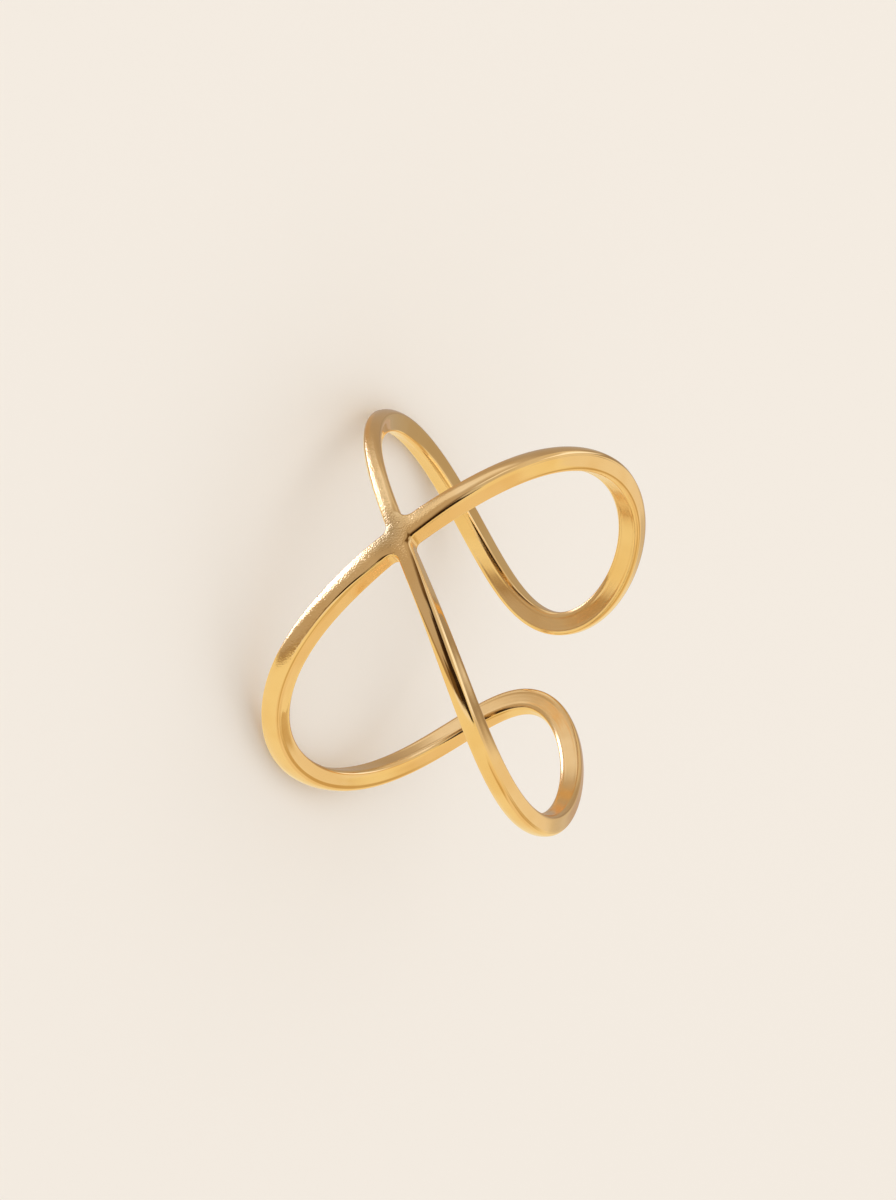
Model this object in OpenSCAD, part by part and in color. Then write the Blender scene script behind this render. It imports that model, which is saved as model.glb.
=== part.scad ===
// Adjustable open swirl ring: one wire bent into two open loops that wrap a finger from both
// sides, cross at the front, where they are fused flush, and stop short of each other at the back.
// It lies on its side with the crossing at -Y, the long loop at +X and the short loop at -X.

/* [Finger] */
// Inside diameter, about a US size 7
inner_d = 17.4; // [15.7:0.1:19]

/* [Wire] */
// Thickness of the wire off the finger, along the front and the sides
wire_thick = 1.2; // [1:0.05:1.6]
// Thickness at the far bend of each loop
bend_thick = 1.1; // [0.9:0.05:1.6]
// Width of the wire across its outer face
wire_wide = 1.22; // [1:0.02:1.6]
// How much narrower the strand from the long loop's upper arm is where it crosses
front_slim = 0.33; // [0:0.01:0.4]
// Radius of the two outer edges
outer_edge = 0.26; // [0.15:0.01:0.35]
// Width of the bevel on the two inner edges
inner_bevel = 0.22; // [0.1:0.01:0.3]
// Rise of the outer face along its middle
crown = 0.07; // [0.02:0.01:0.12]

/* [Long loop] */
// How far round the finger it reaches from the crossing, in degrees
long_reach = 180.5; // [160:0.5:185]
// Height of its arms above and below the crossing
long_wave = 6.65; // [5.5:0.05:7.5]
// How blunt its far bend is
long_blunt = 0.115; // [0:0.005:0.15]
// How much fuller its arms are near the crossing
long_full = 0.085; // [0:0.005:0.15]
// How much sooner its upper arm reaches out than its lower arm
long_skew = 0.055; // [0:0.005:0.15]
// Height of its far bend above the crossing
long_lift = 0.15; // [-1:0.05:1]

/* [Short loop] */
// How far round the finger it reaches from the crossing, in degrees
short_reach = 150; // [130:0.5:155]
// Height of its arms above and below the crossing
short_wave = 5.75; // [5:0.05:7]
// How blunt its far bend is
short_blunt = 0.067; // [0:0.001:0.15]
// How much fuller its arms are near the crossing
short_full = 0.055; // [0:0.005:0.15]
// How much sooner its upper arm reaches out than its lower arm
short_skew = 0.103; // [0:0.001:0.15]
// Height of its far bend above the crossing
short_lift = -0.8; // [-1:0.05:1]

/* [Crossing] */
// Radius of the hollow corners where the two strands are fused
corner_r = 0.45; // [0.2:0.05:0.8]

/* [Rest] */
// Lean of the finger axis as the ring lies, front edge up, in degrees
rest_lean = 5.1; // [0:0.1:8]
// Sideways lean of the finger axis, short loop down, in degrees
rest_side = 0.7; // [-2:0.1:2]

/* [Hidden] */

inner_r = inner_d / 2;
stations = 90;      // sections along each strand
strand_turn = 180;  // how far a strand runs along the closed path, in degrees of the path
step = strand_turn / stations;
edge_steps = 4;     // facets round each outer edge
corner_steps = 6;   // facets round each hollow corner of the crossing
bite = 0.03;        // how deep the fused corners are sunk into the strands
nudge = 0.01;       // half the path step that a direction is measured over

// The path runs from 0, at the crossing, out along the long loop's upper arm, back along its lower
// arm to 180, at the crossing again, and then round the short loop to 360. Each loop's values ease
// into the other's on the way, so the whole path is one smooth closed curve.
function eased(long, short, p) = (long + short) / 2 + (long - short) / 2 * sin(p);
function blunt(p) = eased(long_blunt, short_blunt, p);
function around(p) =
    eased(long_reach, short_reach, p) / (1 + blunt(p))
    * (sin(p) - blunt(p) * sin(3 * p) + eased(long_skew, -short_skew, p) * sin(2 * p));
function height(p) =
    eased(long_wave, short_wave, p) * (sin(2 * p) + eased(long_full, short_full, p) * sin(4 * p))
    + eased(long_lift, -short_lift, p) * sin(p);

// Sizes of the wire's section at a place on the path
function thick(p) = wire_thick - (wire_thick - bend_thick) * pow(sin(p), 2);
function wide(p) = wire_wide - front_slim * pow((1 + cos(p)) / 2, 4);

// A point at an angle round the finger, a distance out from the skin and a height
function wrapped(angle, out, z) =
    [(inner_r + out) * sin(angle), -(inner_r + out) * cos(angle), z];
function outward(p) = [sin(around(p)), -cos(around(p)), 0];
function middle(p) = wrapped(around(p), thick(p) / 2, height(p));
function unit(v) = v / norm(v);
function forward(p) = unit(middle(p + nudge) - middle(p - nudge));
function across(p) = unit(cross(forward(p), outward(p)));

// The wire's section: x is away from the finger and y across the outer face. It has a crowned
// outer face, round outer edges, flat sides and bevelled inner edges.
function outer_arc(t, w, side) = [
    for (k = [0 : edge_steps])
        let (turn = 90 * (side > 0 ? 1 - k / edge_steps : k / edge_steps))
            [t / 2 - crown - outer_edge * (1 - cos(turn)),
             side * (w / 2 - outer_edge * (1 - sin(turn)))]
];
function section(t, w) = concat(
    outer_arc(t, w, 1),
    [[t / 2 - crown / 4, w / 8], [t / 2 - crown / 4, -w / 8]],
    outer_arc(t, w, -1),
    [[-t / 2 + inner_bevel, -w / 2], [-t / 2, -w / 2 + inner_bevel],
     [-t / 2, w / 2 - inner_bevel], [-t / 2 + inner_bevel, w / 2]]
);

function ring_of_points(p) = [
    for (s = section(thick(p), wide(p)))
        middle(p) + s[0] * outward(p) + s[1] * across(p)
];
function strand_points(from) =
    [for (i = [0 : stations]) each ring_of_points((from + i * step + 360) % 360)];

// The ring as it lies: the finger axis leans until both loops' lower arms rest, and the ring
// stands on z = 0 with the middle of its outline over the origin
function leaned(v) =
    let (y = v[1] * cos(rest_lean) + v[2] * sin(rest_lean),
         z = v[2] * cos(rest_lean) - v[1] * sin(rest_lean))
        [v[0] * cos(rest_side) - z * sin(rest_side), y,
         z * cos(rest_side) + v[0] * sin(rest_side)];
leaned_wire = [for (v = concat(strand_points(-90), strand_points(90))) leaned(v)];
function low(k) = min([for (v = leaned_wire) v[k]]);
function high(k) = max([for (v = leaned_wire) v[k]]);
rest_shift = [-(low(0) + high(0)) / 2, -(low(1) + high(1)) / 2, -low(2)];

// Faces of a solid given as rings of n points each, the first and last ring capped
function skin_faces(rings, n) = [
    for (i = [0 : rings - 2], j = [0 : n - 1])
        let (a = i * n + j, b = i * n + (j + 1) % n)
            each [[a, b, b + n], [a, b + n, a + n]]
];
function cap_faces(rings, n) = [
    [for (j = [n - 1 : -1 : 0]) j],
    [for (j = [0 : n - 1]) (rings - 1) * n + j]
];
module skinned(rings, points) {
    n = len(points) / rings;
    polyhedron(points, concat(skin_faces(rings, n), cap_faces(rings, n)), convexity = 10);
}

// One strand of the path, from one far bend through the crossing to the other
module strand(from) {
    skinned(stations + 1, strand_points(from));
}

// Direction of an arm at the crossing, laid flat: x is round the finger, y is along it
function arm_slope(p) =
    atan2(height(p + nudge) - height(p - nudge),
          (around(p + nudge) - around(p - nudge)) * PI / 180 * inner_r);
arm_angles = [arm_slope(0), arm_slope(180), arm_slope(0) + 180, arm_slope(180) + 180];
arm_widths = [wide(0), wide(180), wide(0), wide(180)];

// Where the line at distance da from the centre, facing angle fa, meets the line at db facing fb
function meeting(fa, da, fb, db) =
    let (det = cos(fa) * sin(fb) - sin(fa) * cos(fb))
        [(da * sin(fb) - db * sin(fa)) / det, (db * cos(fa) - da * cos(fb)) / det];

// The hollow corner between one arm and the next, as an arc that touches both
function hollow_corner(k) =
    let (a = arm_angles[k], b = arm_angles[(k + 1) % 4] + (k == 3 ? 360 : 0),
         da = arm_widths[k] / 2 - bite, db = arm_widths[(k + 1) % 4] / 2 - bite,
         hub = meeting(a + 90, da + corner_r, b - 90, db + corner_r))
        [for (i = [0 : corner_steps])
            let (turn = a - 90 - (180 - (b - a)) * i / corner_steps)
                hub + corner_r * [cos(turn), sin(turn)]];
pad_outline = [for (k = [0 : 3]) each hollow_corner(k)];

// The fused crossing: a small domed pad with a hollow corner between each two arms. Each of its
// layers is its outline at a scale, and the distance of that layer from the finger.
pad_layers = [
    [0.4, wire_thick + crown / 3], [0.88, wire_thick - crown],
    [1, wire_thick - crown - outer_edge / 2], [1, inner_bevel], [0.88, -bite], [0.4, -bite]
];
module crossing() {
    skinned(len(pad_layers), [
        for (layer = pad_layers, q = pad_outline)
            wrapped(q[0] * layer[0] / inner_r * 180 / PI, layer[1], q[1] * layer[0])
    ]);
}

// The whole ring, as it lies
module ring_band() {
    color([0.93, 0.72, 0.38])
        translate(rest_shift)
            rotate([-rest_lean, -rest_side, 0])
                union() {
                    strand(-90);
                    strand(90);
                    crossing();
                }
}

ring_band();
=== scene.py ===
"""An adjustable open swirl ring of gold-coloured wire, lying on its side on a plain pale floor."""

import math
from typing import NamedTuple

import bmesh
import bpy
import numpy as np
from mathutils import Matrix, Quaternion, Vector


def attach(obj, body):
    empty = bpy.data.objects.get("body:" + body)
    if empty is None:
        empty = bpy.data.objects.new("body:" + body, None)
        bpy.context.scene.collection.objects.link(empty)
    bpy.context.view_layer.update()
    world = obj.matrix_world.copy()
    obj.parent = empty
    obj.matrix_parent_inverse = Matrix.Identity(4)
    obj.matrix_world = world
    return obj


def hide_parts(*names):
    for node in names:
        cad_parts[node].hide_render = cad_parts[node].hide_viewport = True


bl_info = {
    "name": "Open Swirl Ring",
    "version": (1, 0, 0),
    "blender": (4, 5, 0),
    "location": "3D View > Sidebar > Swirl Ring",
    "description": "Models an adjustable open swirl ring and the stage that it lies on",
    "category": "Add Mesh",
}

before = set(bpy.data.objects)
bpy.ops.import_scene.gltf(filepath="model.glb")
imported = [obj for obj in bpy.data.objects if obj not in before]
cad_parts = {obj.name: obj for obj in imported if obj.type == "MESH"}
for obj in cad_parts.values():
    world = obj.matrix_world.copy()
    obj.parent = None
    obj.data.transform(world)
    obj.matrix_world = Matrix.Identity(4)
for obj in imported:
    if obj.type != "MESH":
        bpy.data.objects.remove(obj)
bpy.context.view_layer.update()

MM = 0.001  # in metres
NODE = "ring_band"
FINE = 4001  # samples of each loop's path that lengths are read from
ALONG_AXIS = 0.9  # share of a direction that lies along an axis where it counts as along it

# Cells of the cage round the wire: across the outer and the inner face, and down each side
ACROSS = 8
DOWN = 6
AROUND = 2 * (ACROSS + DOWN)
# Where the cage's lines cross each face, from its left edge to its right one
OUTER_LINES = (0, 0.25, 0.5, 0.75, 1)
INNER_LINES = (0, 0.15, 0.32, 0.5, 0.68, 0.85, 1)

# The arms in turn round the crossing, seen from outside: where each one starts on the path, and
# which way along the path it leaves
ARMS = (
    {"name": "long_upper", "turn": 0.0, "way": 1},
    {"name": "short_upper", "turn": math.pi, "way": 1},
    {"name": "short_lower", "turn": 2 * math.pi, "way": -1},
    {"name": "long_lower", "turn": math.pi, "way": -1},
)
# Which of them each loop runs out along, and which it comes back in along
LOOPS = ((0, 3), (1, 2))


def length(name, description, default):
    """A length, with its default in millimetres, as in measures."""
    return bpy.props.FloatProperty(
        name=name, description=description, default=default * MM, unit="LENGTH", precision=5
    )


def degrees(name, description, default):
    return bpy.props.FloatProperty(
        name=name, description=description, default=math.radians(default), subtype="ANGLE"
    )


def number(name, description, default):
    return bpy.props.FloatProperty(name=name, description=description, default=default)


def share(name, description, default):
    return bpy.props.FloatProperty(
        name=name, description=description, default=default, min=0, max=1, subtype="FACTOR"
    )


def colour(name, description, default):
    return bpy.props.FloatVectorProperty(
        name=name, description=description, default=default, size=3, min=0, subtype="COLOR"
    )


def measures(name, description, default):
    """A place or a size with a value for each axis."""
    return bpy.props.FloatVectorProperty(
        name=name,
        description=description,
        default=[value * MM for value in default],
        size=len(default),
        unit="LENGTH",
        precision=6,
    )


class SwirlShape(bpy.types.PropertyGroup):
    """Sizes of the ring and of its wire"""

    inner_diameter: length("Inside diameter", "Across the finger", 17.4)
    wire_thick: length("Wire thickness", "Off the finger, at the crossing", 1.2)
    bend_thick: length("Bend thickness", "Off the finger, at each far bend", 1.1)
    wire_wide: length("Wire width", "Across the outer face", 1.22)
    front_slim: length("Slimmer by", "Where the slim strand crosses", 0.33)
    crown: length("Crown", "Rise of the outer face along its middle", 0.07)
    edge_round: length("Edge radius", "Of the two outer edges", 0.26)
    edge_tight: length("Edge radius, crossing", "Of the outer edges by the crossing", 0.17)
    edge_near: length("Tight edge end", "Distance from the crossing up to which it is tight", 1.4)
    edge_far: length("Full edge start", "Distance from the crossing at which it has its full radius", 5)
    edge_line: length("Edge line", "How far a side draws in where the outer edge begins", 0.012)
    inner_bevel: length("Inner bevel", "Width of the soft bevel on the inner edges", 0.22)
    corner_radius: length("Corner radius", "Of the hollow corners at the crossing", 0.45)
    settle_near: length("Full smoothing", "Of the face, up to here from a hollow corner", 0.45)
    settle_far: length("Smoothing end", "Distance from a hollow corner at which it ends", 1.0)
    cell: length("Cell length", "Of the cage along the wire", 0.62)
    corner_cell: length("Corner cell length", "Of the cage by the crossing", 0.2)
    long_reach: degrees("Long reach", "How far round the finger the long loop goes", 180.5)
    long_wave: length("Long wave", "Height of the long loop's arms", 6.65)
    long_blunt: number("Long bluntness", "How blunt the long loop's far bend is", 0.115)
    long_full: number("Long fullness", "How full its arms are near the crossing", 0.085)
    long_skew: number("Long skew", "How much sooner its upper arm reaches out", 0.055)
    long_lift: length("Long lift", "Height of its far bend above the crossing", 0.15)
    long_twist: degrees("Long twist", "How far its lower arm is turned about its own line", 17)
    short_reach: degrees("Short reach", "How far round the finger the short loop goes", 150)
    short_wave: length("Short wave", "Height of the short loop's arms", 5.75)
    short_blunt: number("Short bluntness", "How blunt the short loop's far bend is", 0.067)
    short_full: number("Short fullness", "How full its arms are near the crossing", 0.055)
    short_skew: number("Short skew", "How much sooner its upper arm reaches out", 0.103)
    short_lift: length("Short lift", "Height of its far bend above the crossing", -0.8)
    lower_swell: length("Lower swell", "How far the short loop's lower arm stands out", 0.22)
    upper_swell: length("Upper swell", "How far the short loop's upper arm stands out", 0.08)
    rest_lean: degrees("Lean", "Of the finger axis at rest, front edge up", 5.1)
    rest_side: degrees("Side lean at rest", "Of the finger axis, short loop down", 0.7)
    centre: measures(
        "Centre", "Where the finger axis passes the height of the crossing", (0.0015, -0.0459, 6.8947)
    )


class SwirlFinish(bpy.types.PropertyGroup):
    """Colours and surface of the metal"""

    gold: colour("Gold", "Main colour of the metal", (0.96, 0.68, 0.32))
    gold_deep: colour("Deep gold", "Colour that the gold drifts towards", (0.93, 0.63, 0.27))
    drift: length("Drift", "Size of the patches in which the gold's colour drifts", 2.6)
    polish: share("Polished roughness", "Away from the satin and the inner face", 0.08)
    inside: share("Inside roughness", "Of the inner face", 0.2)
    satin: share("Satin roughness", "Of the outer face by the crossing", 0.12)
    wear: share("Wear", "How far the roughness goes up and down in patches", 0.03)
    wear_size: length("Wear size", "Size of the patches of wear", 0.7)
    mark: length("Polish mark", "Size of the faint waves that polishing leaves", 0.9)
    mark_depth: length("Polish mark depth", "Depth of the faint waves", 0.004)
    grain: length("Grain", "Size of the satin's grains", 0.085)
    grain_depth: length("Grain depth", "Depth of the satin's grains", 0.028)
    ripple: length("Ripple", "Size of the solder's ripples in the hollow corners", 0.3)
    ripple_depth: length("Ripple depth", "Depth of the solder's ripples", 0.03)
    ripple_near: length("Full ripple", "Distance from the crossing up to which it ripples", 0.9)
    ripple_far: length("Ripple end", "Distance from the crossing at which ripples end", 1.6)
    solder: share("Solder roughness", "Added to the sides by the crossing", 0.16)
    solder_far: length("Solder end", "Distance from the crossing at which the sides are polished", 6)
    # Painted shade: the middle of the crossing's outer face is coloured darker, standing in for a
    # darker reflection there; it fades out by the end distance below.
    painted_shade_colour: colour("Painted shade", "Colour at the middle of the crossing", (0.44, 0.31, 0.145))
    painted_shade_end: length("Painted shade end", "Distance from the crossing at which it ends", 1.8)
    grain_near: length("Full grain", "Distance from the crossing up to which the grain is full", 2.5)
    grain_far: length("Grain end", "Distance from the crossing at which the grain ends", 11)
    grain_low: length("Grain fades", "Height above the crossing from which the grain fades", 0.8)
    grain_high: length("Grain's upper end", "Height above the crossing at which it ends", 3.2)


class SwirlStage(bpy.types.PropertyGroup):
    """Floor, light and camera"""

    floor: colour("Floor", "Colour of the floor", (0.88, 0.84, 0.79))
    bright_side: colour("Bright side", "Colour of the surround between the cards", (0.93, 0.84, 0.6))
    ambient: colour("Ambient", "Colour of the even light on the floor", (0.97, 0.94, 0.9))
    floor_size: length("Floor size", "Side of the floor", 1600)
    floor_rough: share("Floor roughness", "How soft the floor's own shine is", 0.9)
    floor_shine: share("Floor shine", "How strong the floor's own shine is", 0.1)
    azimuth: degrees("View azimuth", "Round from the front towards the long loop", 22.95)
    elevation: degrees("View elevation", "Above the floor", 31.63)
    roll: degrees("View roll", "Of the camera about its own line of sight", 99.82)
    distance: length("View distance", "From the ring's centre", 307.5)
    aim_right: length("Aim right", "How far right of the ring's centre the view aims", -0.78)
    aim_up: length("Aim up", "How far above the ring's centre the view aims", 1.18)
    lens: number("Lens", "Focal length in millimetres", 180.3)
    sensor: number("Sensor", "Width in millimetres", 36)
    clip: length("Near clip", "Distance from which the camera sees", 10)
    light_azimuth: degrees("Light azimuth", "Round from the front towards the long loop", -70)
    light_elevation: degrees("Light elevation", "Above the floor", 62)
    light_distance: length("Light distance", "From where the ring lies", 500)
    light_size: length("Light size", "Side of the soft light", 400)
    light_power: number("Light power", "In watts", 0.2)
    light_tint: colour("Light colour", "Colour of the soft light", (1, 0.97, 0.92))
    card: colour("Near card", "Colour of the card close behind the short loop", (0.49, 0.43, 0.36))
    card_size: measures("Near card size", "Width and height", (14.5, 13.3))
    card_soft: length("Near card's soft edge", "How far in from its edges the card fades", 1.4)
    card_place: measures("Near card place", "Where its middle is", (-16.01, 9.86, 5.26))
    card_azimuth: degrees("Near card azimuth", "That the short loop sees it at", -118)
    card_elevation: degrees("Near card elevation", "That the short loop sees it at", 27)


def eased(long_value, short_value, turn):
    """A value that eases from the long loop's to the short loop's along the path."""
    mean, half = (long_value + short_value) / 2, (long_value - short_value) / 2
    return mean + half * np.sin(turn)


def smooth(value, start, end):
    """0 before start, 1 after end and an even ease between them."""
    part = np.clip((value - start) / (end - start), 0, 1)
    return part * part * (3 - 2 * part)


class Row(NamedTuple):
    """Both edges of the wire at one place: flat places, and the ways from them into the metal"""

    left: np.ndarray
    left_in: np.ndarray
    right: np.ndarray
    right_in: np.ndarray
    turn: float
    twist: float = 0.0

    def reversed(self):
        return Row(self.right, self.right_in, self.left, self.left_in, self.turn, -self.twist)


class Wire:
    """The wire's path and section. A turn is a place on the closed path, in radians: 0 and pi are
    the crossing, with the long loop between them, and the short loop lies between pi and 2 pi.
    Flat places are on the finger's unrolled surface: round the finger, and along it."""

    NEARBY = 1e-4  # turns this far to either side give the path's direction
    TWIST_FROM = 0.74 * math.pi  # turn at which the long loop's lower arm begins to twist
    TWIST_FULL = 0.86 * math.pi  # turn at which it is twisted in full
    TWIST_FADE = 3.2 * MM  # length of wire by the crossing in which the twist is lost again
    UPPER_ARM = 1.2 * math.pi  # turns at which the short loop's arms stand out most
    LOWER_ARM = 1.8 * math.pi
    SWELL_SPREAD = 0.1 * math.pi  # turn from there to where an arm stands out by a third of that
    SLIM_POWER = 4  # the higher, the shorter the slim stretch by the crossing

    def __init__(self, shape):
        self.shape = shape
        self.inner_r = shape.inner_diameter / 2
        self.middle_r = self.inner_r + shape.wire_thick / 2
        self.loops = {start: self.measured(start) for start in (0.0, math.pi)}

    def angle(self, turn):
        s = self.shape
        blunt = eased(s.long_blunt, s.short_blunt, turn)
        skew = eased(s.long_skew, -s.short_skew, turn)
        wave = np.sin(turn) - blunt * np.sin(3 * turn) + skew * np.sin(2 * turn)
        return eased(s.long_reach, s.short_reach, turn) / (1 + blunt) * wave

    def height(self, turn):
        s = self.shape
        full = eased(s.long_full, s.short_full, turn)
        wave = np.sin(2 * turn) + full * np.sin(4 * turn)
        lift = eased(s.long_lift, -s.short_lift, turn) * np.sin(turn)
        return eased(s.long_wave, s.short_wave, turn) * wave + lift

    def thick(self, turn):
        s = self.shape
        return s.wire_thick - (s.wire_thick - s.bend_thick) * np.sin(turn) ** 2

    def twist(self, turn, along):
        """How far the wire is turned about its own line, at a length short of the crossing."""
        lower = smooth(turn, self.TWIST_FROM, self.TWIST_FULL) * (turn < math.pi)
        return self.shape.long_twist * lower * smooth(along, 0, self.TWIST_FADE)

    def swell(self, turn):
        """How far the short loop stands out from the round, at each of its arms."""
        s = self.shape
        total = 0.0
        for at, rise in ((self.LOWER_ARM, s.lower_swell), (self.UPPER_ARM, s.upper_swell)):
            total += rise * np.exp(-(((turn - at) / self.SWELL_SPREAD) ** 2))
        return float(total)

    def wide(self, turn):
        slim = ((1 + np.cos(turn)) / 2) ** self.SLIM_POWER
        return self.shape.wire_wide - self.shape.front_slim * slim

    def flat(self, turn):
        return np.stack([self.angle(turn) * self.middle_r, self.height(turn)], axis=-1)

    def measured(self, start):
        """Turns along one loop, and the length of wire up to each."""
        turns = np.linspace(start, start + math.pi, FINE)
        steps = np.linalg.norm(np.diff(self.flat(turns), axis=0), axis=1)
        return turns, np.concatenate([[0], np.cumsum(steps)])

    def edges(self, start, along):
        """Left and right edge of the wire at a length along a loop, with the way into the metal."""
        turns, lengths = self.loops[start]
        turn = np.interp(along, lengths, turns)
        ahead = self.flat(turn + self.NEARBY) - self.flat(turn - self.NEARBY)
        ahead /= np.linalg.norm(ahead)
        left = np.array([-ahead[1], ahead[0]])
        middle, half = self.flat(turn), self.wide(turn) / 2
        return Row(middle + left * half, -left, middle - left * half, left, turn)


class Corner:
    """The hollow corner between one arm and the next, as an arc that touches both."""

    def __init__(self, first, second, radius):
        turned = second["angle"] + (math.tau if second["angle"] < first["angle"] else 0)
        self.start = first["angle"] - math.pi / 2
        self.span = math.pi - (turned - first["angle"])
        self.radius = radius
        first_in = first["wide"] / 2 + radius
        second_in = second["wide"] / 2 + radius
        lines = np.array([
            [-math.sin(first["angle"]), math.cos(first["angle"])],
            [math.sin(second["angle"]), -math.cos(second["angle"])],
        ])
        self.hub = np.linalg.solve(lines, [first_in, second_in])

    def at(self, part):
        """A point on the arc, from 0 at the first arm to 1 at the second, and the way into metal."""
        turned = self.start - self.span * part
        outward = np.array([math.cos(turned), math.sin(turned)])
        return self.hub + self.radius * outward, outward


class Cage:
    """Places of the cage's points: a crossing, and an arm on each side of it."""

    AIM = 2  # corner radii out along an arm, to where its direction is taken
    FILLET_ROWS = 2  # rows of points in half of a hollow corner
    EASE_CELLS = 8  # corner cells in which the cells grow to their full length
    SLANT_CELLS = 5  # corner cells in which the rows come to stand square to the wire
    BEVEL_LINE = 0.32  # where the line along the middle of the inner bevel lies, as a share of it
    PARALLEL_FROM = 1 * MM  # up to here from the crossing the sides point to the finger axis
    PARALLEL_FULL = 4 * MM  # and from here on they are parallel
    EDGES_TAKE = 1.5  # edge radii by which both outer edges narrow the crowned face
    FOOT = 0.25  # where the fine edge line ends, as a share of its depth and of the edge radius

    def __init__(self, shape):
        self.shape = shape
        self.wire = Wire(shape)
        self.arms = [self.arm(a) for a in ARMS]
        self.corners = [
            Corner(arm, self.arms[(k + 1) % 4], shape.corner_radius)
            for k, arm in enumerate(self.arms)
        ]

    def arm(self, plan):
        """Direction and width of an arm by the crossing."""
        start = 0.0 if plan["name"].startswith("long") else math.pi
        turns, lengths = self.wire.loops[start]
        near = self.AIM * self.shape.corner_radius
        along = near if plan["way"] > 0 else lengths[-1] - near
        reached = self.wire.flat(np.interp(along, lengths, turns))
        angle = math.atan2(reached[1], reached[0]) % math.tau
        return {**plan, "start": start, "angle": angle, "wide": float(self.wire.wide(plan["turn"]))}

    def arm_edges(self, k, row):
        """Both edges of arm k in one of the rows along its hollow corners."""
        part = row / self.FILLET_ROWS / 2
        left, left_in = self.corners[k].at(0.5 - part)
        right, right_in = self.corners[k - 1].at(0.5 + part)
        return Row(left, left_in, right, right_in, self.arms[k]["turn"])

    def touch(self, k):
        """How far along arm k its two corners end: on its left and on its right."""
        row = self.arm_edges(k, self.FILLET_ROWS)
        ahead = np.array([math.cos(self.arms[k]["angle"]), math.sin(self.arms[k]["angle"])])
        return float(row.left @ ahead), float(row.right @ ahead)

    def loop_edges(self, first, last):
        """Rows of edges along a loop, from arm first out and back in along arm last."""
        s = self.shape
        start = self.arms[first]["start"]
        whole = self.wire.loops[start][1][-1]
        out_left, out_right = self.touch(first)
        in_right, in_left = self.touch(last)
        begin, end = (out_left + out_right) / 2, whole - (in_left + in_right) / 2
        fine = np.linspace(begin, end, FINE)
        away = np.minimum(fine - begin, end - fine)
        grown = smooth(away, 0, self.EASE_CELLS * s.corner_cell)
        gap = s.corner_cell + (s.cell - s.corner_cell) * grown
        cells = np.concatenate([[0], np.cumsum((fine[1] - fine[0]) / gap[1:])])
        count = int(round(cells[-1]))
        rows = [self.arm_edges(first, row) for row in range(1, self.FILLET_ROWS + 1)]
        for row in range(1, count):
            along = np.interp(row / count * cells[-1], cells, fine)
            leave = 1 - smooth(along - begin, 0, self.SLANT_CELLS * s.corner_cell)
            enter = 1 - smooth(end - along, 0, self.SLANT_CELLS * s.corner_cell)
            left_at = along + (out_left - begin) * leave - (in_left - (whole - end)) * enter
            right_at = along + (out_right - begin) * leave - (in_right - (whole - end)) * enter
            on_left, on_right = self.wire.edges(start, left_at), self.wire.edges(start, right_at)
            twist = self.wire.twist(on_left.turn, end - along)
            rows.append(on_left._replace(right=on_right.right, right_in=on_right.right_in, twist=twist))
        return rows + [self.arm_edges(last, row).reversed() for row in range(self.FILLET_ROWS, 0, -1)]

    def section(self, edges):
        """The points round the wire in one row, as (flat place, distance off the finger)."""
        s = self.shape
        left, left_in, right, right_in, turn, twist = edges
        thick = float(self.wire.thick(turn))
        away = float(smooth(np.linalg.norm(left + right) / 2, s.edge_near, s.edge_far))
        edge_round = s.edge_tight + (s.edge_round - s.edge_tight) * away
        # The crowned outer face between its edges, and how far it slopes where it meets them
        face_wide = np.linalg.norm(left - right) - self.EDGES_TAKE * edge_round
        tilt = math.atan(4 * s.crown / face_wide)
        arc_in = s.edge_line + edge_round
        arc_out = thick - s.crown - edge_round * math.cos(tilt)

        def on_arc(part):
            """A point of the outer edge, from 0 on the outer face to 1 on the side."""
            turned = tilt + (math.pi / 2 - tilt) * part
            return arc_in - edge_round * math.sin(turned), arc_out + edge_round * math.cos(turned)

        run = (right - left) / np.linalg.norm(right - left)
        ends = ((left, left_in, run), (right, right_in, -run))

        def at_ends(*points):
            """Points set in from both edges, square to the edges."""
            return [[(edge + inward * inset, out) for inset, out in points] for edge, inward, _ in ends]

        def along_row(corner_inset, inset):
            """Flat places at an inset from both edges, along the row from its corners."""
            return [
                edge + inward * corner_inset + way * (inset - corner_inset) / (way @ inward)
                for edge, inward, way in ends
            ]

        def across(corner_inset, edge, rise, lines):
            """Points across a face, raised towards its middle."""
            start, end = along_row(corner_inset, edge[0])
            return [(start + (end - start) * g, edge[1] + rise * (1 - (2 * g - 1) ** 2)) for g in lines]

        corner, shoulder, low = on_arc(0.5), on_arc(0.25), self.BEVEL_LINE * s.inner_bevel
        corners = at_ends(corner)
        shoulders = along_row(corner[0], shoulder[0])
        sides = at_ends(
            on_arc(0.75),
            on_arc(1),
            (self.FOOT * s.edge_line, arc_out - self.FOOT * edge_round),
            (0, (arc_out + s.inner_bevel) / 2),
            (0, s.inner_bevel),
        )
        lows = at_ends((low, low))
        points = [
            *corners[0],
            (shoulders[0], shoulder[1]),
            *across(corner[0], on_arc(0), s.crown, OUTER_LINES),
            (shoulders[1], shoulder[1]),
            *corners[1],
            *sides[1],
            *lows[1],
            *across(low, (s.inner_bevel, 0), 0, INNER_LINES)[::-1],
            *lows[0],
            *sides[0][::-1],
        ]
        swell = self.wire.swell(turn)
        points = [(flat, out + swell) for flat, out in points]
        if not twist:
            return points
        middle, across_way = (left + right) / 2, (left - right) / np.linalg.norm(left - right)
        return [self.twisted(p, middle, across_way, thick / 2, twist) for p in points]

    def twisted(self, point, middle, across_way, half_thick, twist):
        """A point of a section, turned about the section's middle."""
        flat, out = point
        aside, up = (flat - middle) @ across_way, out - half_thick
        turned = aside * math.cos(twist) + up * math.sin(twist)
        rise = up * math.cos(twist) - aside * math.sin(twist)
        return flat + across_way * (turned - aside), half_thick + rise

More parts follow.
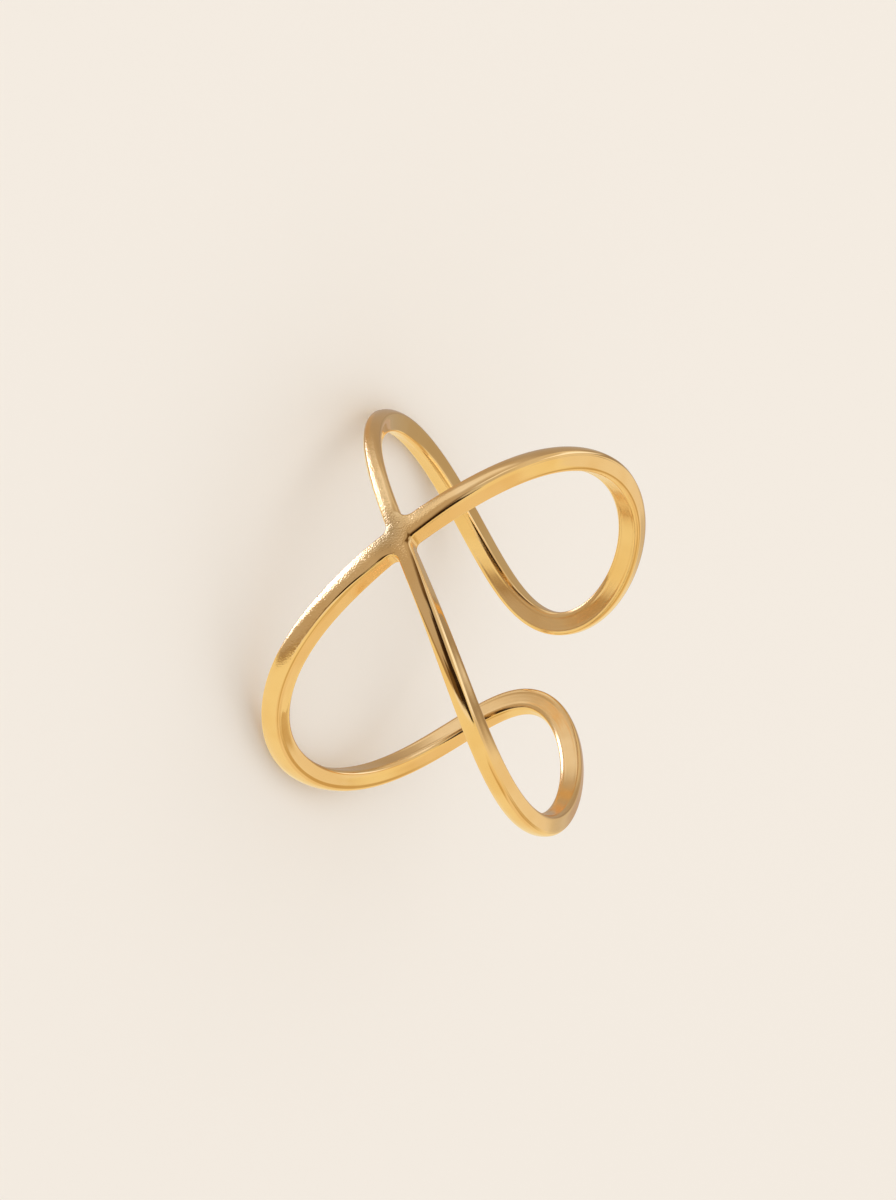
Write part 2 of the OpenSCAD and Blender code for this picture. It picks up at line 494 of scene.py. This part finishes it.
    def placed(self, flat, out, middle=None):
        """A flat place and its distance off the finger, as a point of the ring as it lies. Away
        from the crossing the wire's sides are parallel and not along the finger's radius."""
        s = self.shape
        middle = flat if middle is None else middle
        radius = self.wire.inner_r + out
        apart = smooth(np.linalg.norm(middle), self.PARALLEL_FROM, self.PARALLEL_FULL)
        own = self.wire.middle_r + (radius - self.wire.middle_r) * apart
        angle = middle[0] / self.wire.middle_r + (flat[0] - middle[0]) / own
        x, y, z = radius * math.sin(angle), -radius * math.cos(angle), flat[1]
        turned = Quaternion((0, 1, 0), -s.rest_side) @ Quaternion((1, 0, 0), -s.rest_lean)
        return turned @ Vector((x, y, z)) + Vector(s.centre)

    def row_points(self, edges):
        middle = (edges.left + edges.right) / 2
        return [self.placed(flat, out, middle) for flat, out in self.section(edges)]

    def hub_points(self):
        """Points of the crossing by their cells (along arms 2 to 0, along arms 3 to 1, down)."""
        ends = [self.section(self.arm_edges(k, 0)) for k in range(4)]
        points = {}
        for k in range(4):
            points.update(self.hub_column(k, ends[k]))
        for lower in (False, True):
            points.update(self.hub_face([self.face_row(e, lower) for e in ends], lower))
        return points

    def hub_column(self, k, end):
        """The points down the corner on the left of arm k."""
        i, j = ((ACROSS, ACROSS), (0, ACROSS), (0, 0), (ACROSS, 0))[k]
        column = [end[0], *end[:-DOWN:-1], end[-DOWN]]
        return {(i, j, down): self.placed(*column[down]) for down in range(DOWN + 1)}

    def face_row(self, end, lower):
        """One arm's end across the outer or the inner face, from left to right."""
        if not lower:
            return end[: ACROSS + 1]
        return end[ACROSS + DOWN : 2 * ACROSS + DOWN + 1][::-1]

    def hub_face(self, rows, lower):
        """The outer or the inner face of the crossing, filled in between its four arms' ends."""
        n = ACROSS
        down = DOWN if lower else 0
        east, west = rows[0][::-1], rows[2]
        north, south = rows[1], rows[3][::-1]
        lines = np.array([np.linalg.norm(p[0] - north[0][0]) for p in north])
        lines /= lines[-1]
        top = self.shape.wire_thick if not lower else 0.0
        drops = np.array([abs(top - out) for _, out in north])
        points = {}
        for i in range(n + 1):
            for j in range(n + 1):
                # Ruled both ways between the four sides, less the plain blend of the corners
                a, b = lines[i], lines[j]
                ruled = (1 - a) * west[j][0] + a * east[j][0] + (1 - b) * south[i][0] + b * north[i][0]
                bent = (1 - a) * (1 - b) * west[0][0] + a * (1 - b) * east[0][0]
                bent = bent + (1 - a) * b * west[n][0] + a * b * east[n][0]
                drop = drops[i] * drops[j] / drops[0]
                out = top + drop if lower else top - drop
                points[i, j, down] = self.placed(ruled - bent, out)
        return points


class Neighbours:
    """Sums over each cage point's neighbours, along edges and across faces."""

    def __init__(self, data):
        pairs = np.array([e.vertices[:] for e in data.edges])
        quads = np.array([p.vertices[:] for p in data.polygons])
        self.edges = np.concatenate([pairs, pairs[:, ::-1]])
        self.faces = np.concatenate([np.roll(quads, k, axis=1)[:, [0, 2]] for k in range(4)])
        self.valence = np.bincount(self.edges[:, 0], minlength=len(data.vertices))[:, None]

    def limit(self, places):
        """Where a smooth surface over the cage passes each of its points."""
        edge_sum, face_sum = np.zeros_like(places), np.zeros_like(places)
        np.add.at(edge_sum, self.edges[:, 0], places[self.edges[:, 1]])
        np.add.at(face_sum, self.faces[:, 0], places[self.faces[:, 1]])
        n = self.valence
        return (n * n * places + 4 * edge_sum + face_sum) / (n * (n + 5))


def fit_cage(data, rounds=14):
    """Moves a cage's points until the smooth surface over it passes where they were."""
    wanted = np.array([v.co for v in data.vertices])
    around = Neighbours(data)
    places = wanted.copy()
    for _ in range(rounds):
        places += wanted - around.limit(places)
    data.vertices.foreach_set("co", places.ravel())
    data.update()


def deselect_all():
    if bpy.context.object and bpy.context.object.mode != "OBJECT":
        bpy.ops.object.mode_set(mode="OBJECT")
    bpy.ops.object.select_all(action="DESELECT")


def edit(piece):
    """The piece's mesh in edit mode, as it stands."""
    return bmesh.from_edit_mesh(piece.data)


def select_only(piece, kind, wanted):
    """Selects just the mesh's edges or faces for which wanted(element) holds."""
    mesh = edit(piece)
    for element in (*mesh.faces, *mesh.edges, *mesh.verts):
        element.select_set(False)
    for element in getattr(mesh, kind):
        if wanted(element):
            element.select_set(True)
    mesh.select_flush_mode()
    bmesh.update_edit_mesh(piece.data)


def runs_along(edge, axis):
    run = edge.verts[0].co - edge.verts[1].co
    return abs(run[axis]) > ALONG_AXIS * run.length


def crossing_block(cage):
    """A block in cells, its four sides one face each, shaped into the wire's crossing."""
    bpy.ops.mesh.primitive_cube_add(size=2)
    piece = bpy.context.object
    piece.name = piece.data.name = "swirl_ring_band"
    bpy.ops.object.mode_set(mode="EDIT")
    bpy.ops.mesh.select_mode(type="EDGE")
    for axis, cells in enumerate((ACROSS, ACROSS, DOWN)):
        select_only(piece, "edges", lambda e: runs_along(e, axis))
        bpy.ops.mesh.subdivide(number_cuts=cells - 1)
    bpy.ops.mesh.select_mode(type="FACE")
    for axis in (0, 1):
        for side in (-1, 1):
            select_only(piece, "faces", lambda f: f.normal[axis] * side > ALONG_AXIS)
            bpy.ops.mesh.dissolve_faces()
    points = cage.hub_points()
    mesh = edit(piece)
    # The block still reaches from -1 to 1 along each axis
    for v in mesh.verts:
        i, j = (round((v.co[axis] + 1) / 2 * ACROSS) for axis in (0, 1))
        v.co = points[i, j, round((1 - v.co[2]) / 2 * DOWN)]
    bmesh.update_edit_mesh(piece.data)
    return piece


def open_end(mesh, near):
    """The many-sided face nearest to a place."""
    ends = [f for f in mesh.faces if len(f.verts) == AROUND]
    return min(ends, key=lambda f: (f.calc_center_median() - near).length)


def average(points):
    return sum(points, Vector()) / len(points)


def grow_loop(piece, cage, first, last):
    """Extrudes a loop of wire from one side of the crossing, row by row, and joins it to another."""
    first_row = cage.row_points(cage.arm_edges(first, 0))
    last_row = cage.row_points(cage.arm_edges(last, 0))
    mesh = edit(piece)
    place = mesh.verts.layers.int.get("place") or mesh.verts.layers.int.new("place")
    end = open_end(mesh, average(first_row))
    for v in end.verts:
        v[place] = min(range(AROUND), key=lambda m: (first_row[m] - v.co).length)
    select_only(piece, "faces", lambda f: f == end)
    for edges in cage.loop_edges(first, last):
        bpy.ops.mesh.extrude_region_move()
        points = cage.row_points(edges)
        mesh = edit(piece)
        place = mesh.verts.layers.int["place"]
        for v in mesh.verts:
            if v.select:
                v.co = points[v[place]]
        bmesh.update_edit_mesh(piece.data)
    last_points = average(points)
    far = average(last_row)
    mesh = edit(piece)
    rims = [{v.index for v in open_end(mesh, at).verts} for at in (last_points, far)]

    def on_rim(edge):
        return edge.is_boundary and any({v.index for v in edge.verts} <= rim for rim in rims)

    select_only(piece, "faces", lambda f: {v.index for v in f.verts} in rims)
    bpy.ops.mesh.delete(type="ONLY_FACE")
    bpy.ops.mesh.select_mode(type="EDGE")
    select_only(piece, "edges", on_rim)
    bpy.ops.mesh.bridge_edge_loops()
    bpy.ops.mesh.select_mode(type="FACE")


def feed(tree, node, inputs):
    """Gives a node's inputs, by name or number, their values or wires them to other outputs."""
    for key, value in inputs.items():
        if isinstance(value, bpy.types.NodeSocket):
            tree.links.new(value, node.inputs[key])
        else:
            node.inputs[key].default_value = value


def add_node(tree, kind, inputs=None, **settings):
    """A shader node with its settings and inputs."""
    node = tree.nodes.new(kind)
    for name, value in settings.items():
        setattr(node, name, value)
    feed(tree, node, inputs or {})
    return node


def opened(material):
    """A material's tree, cleared, with a principled shader wired to its output."""
    material.use_nodes = True
    tree = material.node_tree
    tree.nodes.clear()
    shader = add_node(tree, "ShaderNodeBsdfPrincipled")
    add_node(tree, "ShaderNodeOutputMaterial", {"Surface": shader.outputs["BSDF"]})
    return tree, shader


def ranged(tree, value, low, high, to_low=0.0, to_high=1.0):
    """A value eased from one range to another and held at its ends."""
    inputs = {"Value": value, "From Min": low, "From Max": high, "To Min": to_low, "To Max": to_high}
    made = add_node(tree, "ShaderNodeMapRange", inputs, interpolation_type="SMOOTHSTEP")
    return made.outputs["Result"]


def faded(tree, value, low, high):
    """1 up to low, 0 from high on and an even ease between them."""
    return ranged(tree, value, low, high, 1.0, 0.0)


def calculated(tree, operation, *values):
    """A number worked out from one or two values."""
    inputs = dict(enumerate(values))
    return add_node(tree, "ShaderNodeMath", inputs, operation=operation).outputs[0]


def product(tree, first, *others):
    """Any number of values multiplied together."""
    for other in others:
        first = calculated(tree, "MULTIPLY", first, other)
    return first


def vector(tree, operation, *values, result="Vector"):
    inputs = dict(enumerate(values))
    return add_node(tree, "ShaderNodeVectorMath", inputs, operation=operation).outputs[result]


def separated(tree, value):
    return add_node(tree, "ShaderNodeSeparateXYZ", {"Vector": value}).outputs


def mixed(tree, part, first, second):
    """One colour turning into another."""
    return add_node(tree, "ShaderNodeMix", {0: part, 6: first, 7: second}, data_type="RGBA").outputs[2]


def rgba(rgb):
    return (*rgb, 1.0)


def noise(tree, place, size, detail):
    """Soft noise whose patches are about the given size across."""
    inputs = {"Vector": place, "Scale": 1 / size, "Detail": detail}
    return add_node(tree, "ShaderNodeTexNoise", inputs).outputs["Fac"]


def bumped(tree, height, depth, **under):
    """The surface's normal with a pattern of a given depth, on top of the normal under it."""
    inputs = {"Strength": 1.0, "Distance": depth, "Height": height, **under}
    return add_node(tree, "ShaderNodeBump", inputs).outputs["Normal"]


# Ranges over which the metal's looks ease into each other. Facing is 1 on the outer face, 0 on the
# sides and -1 on the inner face.
FACING_OUT = (0.6, 0.9)
FACING_IN = (-0.9, -0.6)
FACING_ASIDE = (0.4, 0.7)  # of facing without its sign
TURNED_UP = (0.1, 0.3)  # of the normal's upward part
DRIFT_RANGE = (0.35, 0.65)  # of the noise that the colour drifts by
WEAR_RANGE = (0.3, 0.7)  # of the noise that the wear follows


def gold_metal(shape, finish):
    """Gold-coloured metal: polished, with a satin grain on the outer face by the crossing, and painted
    shade darkening the middle of the crossing.
    """
    material = bpy.data.materials.new("gold_metal")
    tree, shader = opened(material)
    place = add_node(tree, "ShaderNodeTexCoord").outputs["Object"]
    normal = add_node(tree, "ShaderNodeNewGeometry").outputs["Normal"]
    outward = vector(tree, "NORMALIZE", vector(tree, "MULTIPLY", place, (1, 1, 0)))
    facing = vector(tree, "DOT_PRODUCT", normal, outward, result="Value")
    facing_out = ranged(tree, facing, *FACING_OUT)
    aside = faded(tree, calculated(tree, "ABSOLUTE", facing), *FACING_ASIDE)
    front = Vector(shape.centre) + Vector((0, -shape.inner_diameter / 2 - shape.wire_thick / 2, 0))
    off = vector(tree, "DISTANCE", place, front, result="Value")
    near = faded(tree, off, finish.grain_near, finish.grain_far)
    turned_down = faded(tree, separated(tree, normal)["Z"], *TURNED_UP)
    height = separated(tree, place)["Z"]
    low = faded(tree, height, front.z + finish.grain_low, front.z + finish.grain_high)
    grainy = product(tree, facing_out, near, turned_down, low)

    drift = ranged(tree, noise(tree, place, finish.drift, detail=2), *DRIFT_RANGE)
    gold = mixed(tree, drift, rgba(finish.gold), rgba(finish.gold_deep))
    # Painted shade: the outer face is mixed towards a darker colour at the middle of the crossing, in
    # place of the darker reflection there, fading out away from it.
    middle = product(tree, faded(tree, off, 0.0, finish.painted_shade_end), facing_out)
    gold = mixed(tree, middle, gold, rgba(finish.painted_shade_colour))

    level = ranged(tree, grainy, 0, 1, finish.polish, finish.satin)
    inner = ranged(tree, facing, *FACING_IN, finish.inside - finish.polish, 0.0)
    patches = noise(tree, place, finish.wear_size, detail=4)
    worn = ranged(tree, patches, *WEAR_RANGE, -finish.wear, finish.wear)
    dull = ranged(tree, off, finish.ripple_far, finish.solder_far, finish.solder, 0.0)
    rough = calculated(tree, "ADD", calculated(tree, "ADD", level, inner), worn)
    rough = calculated(tree, "ADD", rough, product(tree, dull, aside))

    swell = bumped(tree, noise(tree, place, finish.mark, detail=2), finish.mark_depth)
    grains = product(tree, noise(tree, place, finish.grain, detail=1), grainy)
    pitted = bumped(tree, grains, finish.grain_depth, Normal=swell)
    corners = faded(tree, off, finish.ripple_near, finish.ripple_far)
    ripples = product(tree, noise(tree, place, finish.ripple, detail=1), aside, corners)
    soldered = bumped(tree, ripples, finish.ripple_depth, Normal=pitted)
    feed(tree, shader, {"Base Color": gold, "Metallic": 1.0, "Roughness": rough, "Normal": soldered})
    return material


SKIN_LEVELS = 2  # times that the smooth surface over the cage halves its cells
SETTLE_FACING = (0.45, 0.8)  # how far out a point has to face to be smoothed, not at all and in full
SETTLE_FACTOR = 0.5
SETTLE_ROUNDS = 40


def settle_face(piece, cage):
    """Smooths the outer face of the crossing by its four hollow corners."""
    shape = cage.shape
    tops = [cage.placed(corner.at(0.5)[0], shape.wire_thick) for corner in cage.corners]
    middle = np.zeros(2)
    outward = (cage.placed(middle, shape.wire_thick) - cage.placed(middle, 0.0)).normalized()
    group = piece.vertex_groups.new(name="crossing_face")
    for v in piece.data.vertices:
        apart = min((v.co - top).length for top in tops)
        if apart < shape.settle_far:
            close = 1 - float(smooth(apart, shape.settle_near, shape.settle_far))
            facing = float(smooth(v.normal.dot(outward), *SETTLE_FACING))
            if close * facing > 0:
                group.add([v.index], close * facing, "REPLACE")
    settle = piece.modifiers.new("settle", "SMOOTH")
    settle.factor = SETTLE_FACTOR
    settle.iterations = SETTLE_ROUNDS
    settle.vertex_group = group.name
    bpy.ops.object.modifier_apply(modifier=settle.name)


class SWIRLRING_OT_band(bpy.types.Operator):
    """Model the ring's wire: its crossing, and the two loops that grow from it"""

    bl_idname = "swirl_ring.band"
    bl_label = "Ring Band"

    def execute(self, context):
        cage = Cage(context.scene.swirl_shape)
        deselect_all()
        piece = crossing_block(cage)
        for first, last in LOOPS:
            grow_loop(piece, cage, first, last)
        bpy.ops.mesh.select_all(action="SELECT")
        bpy.ops.mesh.normals_make_consistent(inside=False)
        bpy.ops.object.mode_set(mode="OBJECT")
        if any(len(p.vertices) != 4 for p in piece.data.polygons):
            raise RuntimeError("the cage of the ring band isn't closed in quads")
        fit_cage(piece.data)
        skin = piece.modifiers.new("skin", "SUBSURF")
        skin.levels = skin.render_levels = SKIN_LEVELS
        bpy.ops.object.modifier_apply(modifier=skin.name)
        settle_face(piece, cage)
        bpy.ops.object.shade_smooth()
        piece.data.materials.append(gold_metal(context.scene.swirl_shape, context.scene.swirl_finish))
        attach(piece, "root")
        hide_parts(NODE)
        return {"FINISHED"}


def pale_floor(stage):
    material = bpy.data.materials.new("pale_floor")
    tree, shader = opened(material)
    inputs = {"Roughness": stage.floor_rough, "Specular IOR Level": stage.floor_shine}
    feed(tree, shader, {"Base Color": rgba(stage.floor), **inputs})
    return material


def add_floor(stage):
    bpy.ops.mesh.primitive_plane_add(size=stage.floor_size)
    floor = bpy.context.object
    floor.name = "floor"
    floor.data.materials.append(pale_floor(stage))
    floor.visible_glossy = False


def add_camera(stage, shape):
    """A long lens at the view's azimuth, elevation and roll."""
    round_z = Quaternion((0, 0, 1), stage.azimuth)
    tipped = Quaternion((1, 0, 0), math.pi / 2 - stage.elevation)
    turned = round_z @ tipped @ Quaternion((0, 0, 1), stage.roll)
    right, up, back = (turned @ Vector(axis) for axis in ((1, 0, 0), (0, 1, 0), (0, 0, 1)))
    centre = Vector(shape.centre)
    eye = centre + back * stage.distance
    aim = centre + right * stage.aim_right + up * stage.aim_up
    nudge = back.rotation_difference(eye - aim)
    lens = bpy.data.cameras.new("camera")
    lens.lens = stage.lens
    lens.sensor_width = stage.sensor
    lens.clip_start = stage.clip
    camera = bpy.data.objects.new("camera", lens)
    camera.location = eye
    camera.rotation_mode = "QUATERNION"
    camera.rotation_quaternion = nudge @ turned
    bpy.context.scene.collection.objects.link(camera)
    bpy.context.scene.camera = camera


def direction(azimuth, elevation):
    """The way at an azimuth from the front towards +X and at an elevation above the floor."""
    flat = math.cos(elevation)
    return Vector((math.sin(azimuth) * flat, -math.cos(azimuth) * flat, math.sin(elevation)))


def face(thing, way):
    """Turns a light's back or a card's front to a direction."""
    thing.rotation_mode = "QUATERNION"
    thing.rotation_quaternion = way.to_track_quat("Z", "Y")


# Soft-edged cards round the ring that only its reflections show, each laid over those before it:
# their reach in azimuth and in elevation, how soft their edges are, all in degrees, and their colour
CARDS = (
    ("dim side", (-150, 57), (-95, 14), 5, (0.54, 0.46, 0.4)),
    ("dim side, upper part", (-152, -58), (2, 80), 9, (0.73, 0.66, 0.6)),
    ("dim side, top", (-60, 4), (10, 66), 9, (0.62, 0.57, 0.53)),
    ("grey card at the left", (-150, -88), (-40, 2), 7, (0.46, 0.39, 0.34)),
    ("pale band at the left", (-76, -43), (-25, -7), 5, (0.89, 0.88, 0.97)),
    ("tan card over the pale band", (-92, -60), (-5, 10), 4, (0.67, 0.6, 0.56)),
    ("pale card over the pale band", (-62, -43), (4, 34), 3, (0.99, 1.02, 1.2)),
    ("tan card further left", (-122, -99), (0, 13), 4, (0.42, 0.35, 0.29)),
    ("brown flag", (-36, -4), (1, 24), 5, (0.15, 0.09, 0.045)),
    ("black flag", (-14, 55), (9, 78), 3, (0.03, 0.015, 0.006)),
    ("dark card under the black flag", (2, 56), (4, 12), 3, (0.06, 0.03, 0.012)),
    ("dark edge of the dim side", (36, 56), (-12, 12), 3, (0.14, 0.08, 0.03)),
    ("brown edge of the dim side", (47, 58), (-80, -12), 4, (0.36, 0.25, 0.14)),
    ("pale edge of the bright side", (57, 64), (-20, 30), 3, (0.96, 0.94, 0.95)),
    ("pale card over the lamp", (-66, -12), (-54, -34), 6, (0.68, 0.66, 0.74)),
    ("pale card at the front", (-68, -19), (-34, -17), 5, (0.87, 0.84, 0.9)),
    ("pale card by the lamp", (-74, -8), (-95, -47), 5, (1.0, 1.0, 1.2)),
    ("lamp", (-80, -22), (-95, -53), 5, (4.5, 4.8, 7)),
    ("warm card", (-128, -76), (-58, -38), 6, (0.54, 0.4, 0.28)),
    ("end of the dim side", (-164, -146), (-28, 0), 5, (0.56, 0.44, 0.36)),
    ("bright side, lower", (100, 172), (6, 62), 8, (0.87, 0.73, 0.52)),
    ("warm line of the bright side", (96, 134), (16, 46), 5, (0.67, 0.51, 0.25)),
    ("warm patch at the back", (-187, -165), (16, 48), 6, (0.62, 0.46, 0.24)),
    ("warm patch at the back, other half", (167, 187), (26, 48), 6, (0.62, 0.46, 0.24)),
    ("pale card at the back", (-166, -143), (8, 62), 4, (0.88, 0.8, 0.68)),
    ("tan card at the back", (-166, -142), (-4, 9), 5, (0.66, 0.58, 0.47)),
    ("brown card beside it", (-141, -125), (-7, 39), 4, (0.38, 0.31, 0.25)),
    ("bright strip at the back", (-127, -98), (22, 64), 5, (1.15, 1.2, 1.4)),
)


def near_card_paint(stage):
    """An even glow that fades out towards the card's edges."""
    material = bpy.data.materials.new("near_card")
    tree, shader = opened(material)
    x, y, _ = separated(tree, add_node(tree, "ShaderNodeTexCoord").outputs["Object"])
    fades = []
    for along, size in zip((x, y), stage.card_size):
        aside = calculated(tree, "ABSOLUTE", along)
        fades.append(faded(tree, aside, size / 2 - stage.card_soft, size / 2))
    glow = {"Emission Color": rgba(stage.card), "Emission Strength": 1.0}
    plain = {"Base Color": rgba((0, 0, 0)), "Specular IOR Level": 0.0}
    feed(tree, shader, {**plain, **glow, "Alpha": product(tree, *fades)})
    return material


def add_near_card(stage):
    """A card close to the ring behind the short loop, that only its reflections show."""
    bpy.ops.mesh.primitive_plane_add(size=1)
    card = bpy.context.object
    card.name = "near_card"
    card.data.materials.append(near_card_paint(stage))
    card.scale = (*stage.card_size, 1)
    bpy.ops.object.transform_apply(location=False, rotation=False, scale=True)
    card.location = stage.card_place
    face(card, direction(stage.card_azimuth, stage.card_elevation))
    for seen_by in ("camera", "diffuse", "transmission", "volume_scatter", "shadow"):
        setattr(card, "visible_" + seen_by, False)


def surround(stage):
    """A plain even light, and for reflections the cards on a pale ground."""
    world = bpy.data.worlds.new("surround")
    bpy.context.scene.world = world
    world.use_nodes = True
    tree = world.node_tree
    tree.nodes.clear()
    x, y, z = separated(tree, add_node(tree, "ShaderNodeTexCoord").outputs["Generated"])
    forward = product(tree, y, -1)
    azimuth = calculated(tree, "DEGREES", calculated(tree, "ARCTAN2", x, forward))
    elevation = calculated(tree, "DEGREES", calculated(tree, "ARCSINE", z))

    shown = rgba(stage.bright_side)
    for _, azimuths, elevations, soft, tint in CARDS:
        ends = []
        for value, (start, end) in ((azimuth, azimuths), (elevation, elevations)):
            ends.append(ranged(tree, value, start - soft, start + soft))
            ends.append(faded(tree, value, end - soft, end + soft))
        shown = mixed(tree, product(tree, *ends), shown, rgba(tint))

    plain = add_node(tree, "ShaderNodeBackground", {"Color": rgba(stage.ambient)})
    glossy = add_node(tree, "ShaderNodeBackground", {"Color": shown})
    mirrored = add_node(tree, "ShaderNodeLightPath").outputs["Is Glossy Ray"]
    inputs = {0: mirrored, 1: plain.outputs[0], 2: glossy.outputs[0]}
    either = add_node(tree, "ShaderNodeMixShader", inputs)
    add_node(tree, "ShaderNodeOutputWorld", {"Surface": either.outputs[0]})


def add_light(stage):
    """A soft square light that faces the ring."""
    light = bpy.data.lights.new("key", "AREA")
    light.size = stage.light_size
    light.energy = stage.light_power
    light.color = stage.light_tint
    lamp = bpy.data.objects.new("key", light)
    way = direction(stage.light_azimuth, stage.light_elevation)
    lamp.location = way * stage.light_distance
    face(lamp, way)
    lamp.visible_glossy = False
    bpy.context.scene.collection.objects.link(lamp)


class SWIRLRING_OT_stage(bpy.types.Operator):
    """Add the pale floor, the soft light and the camera"""

    bl_idname = "swirl_ring.stage"
    bl_label = "Stage"

    def execute(self, context):
        deselect_all()
        stage = context.scene.swirl_stage
        add_floor(stage)
        add_camera(stage, context.scene.swirl_shape)
        add_near_card(stage)
        surround(stage)
        add_light(stage)
        context.scene.view_settings.view_transform = "Standard"
        return {"FINISHED"}


class SWIRLRING_PT_panel(bpy.types.Panel):
    """Lists the ring's steps in the sidebar"""

    bl_idname = "SWIRLRING_PT_panel"
    bl_label = "Swirl Ring"
    bl_space_type = "VIEW_3D"
    bl_region_type = "UI"
    bl_category = "Swirl Ring"

    def draw(self, context):
        for step in (SWIRLRING_OT_stage, SWIRLRING_OT_band):
            self.layout.operator(step.bl_idname)
        for group in (context.scene.swirl_shape, context.scene.swirl_finish, context.scene.swirl_stage):
            box = self.layout.box()
            for name in group.__annotations__:
                box.prop(group, name)


GROUPS = {"swirl_shape": SwirlShape, "swirl_finish": SwirlFinish, "swirl_stage": SwirlStage}
CLASSES = (*GROUPS.values(), SWIRLRING_OT_stage, SWIRLRING_OT_band, SWIRLRING_PT_panel)


def register():
    for made in CLASSES:
        bpy.utils.register_class(made)
    for name, group in GROUPS.items():
        setattr(bpy.types.Scene, name, bpy.props.PointerProperty(type=group))


def unregister():
    for name in GROUPS:
        delattr(bpy.types.Scene, name)
    for made in reversed(CLASSES):
        bpy.utils.unregister_class(made)


def main():
    register()
    bpy.ops.swirl_ring.stage()
    bpy.ops.swirl_ring.band()


if __name__ == "__main__":
    main()
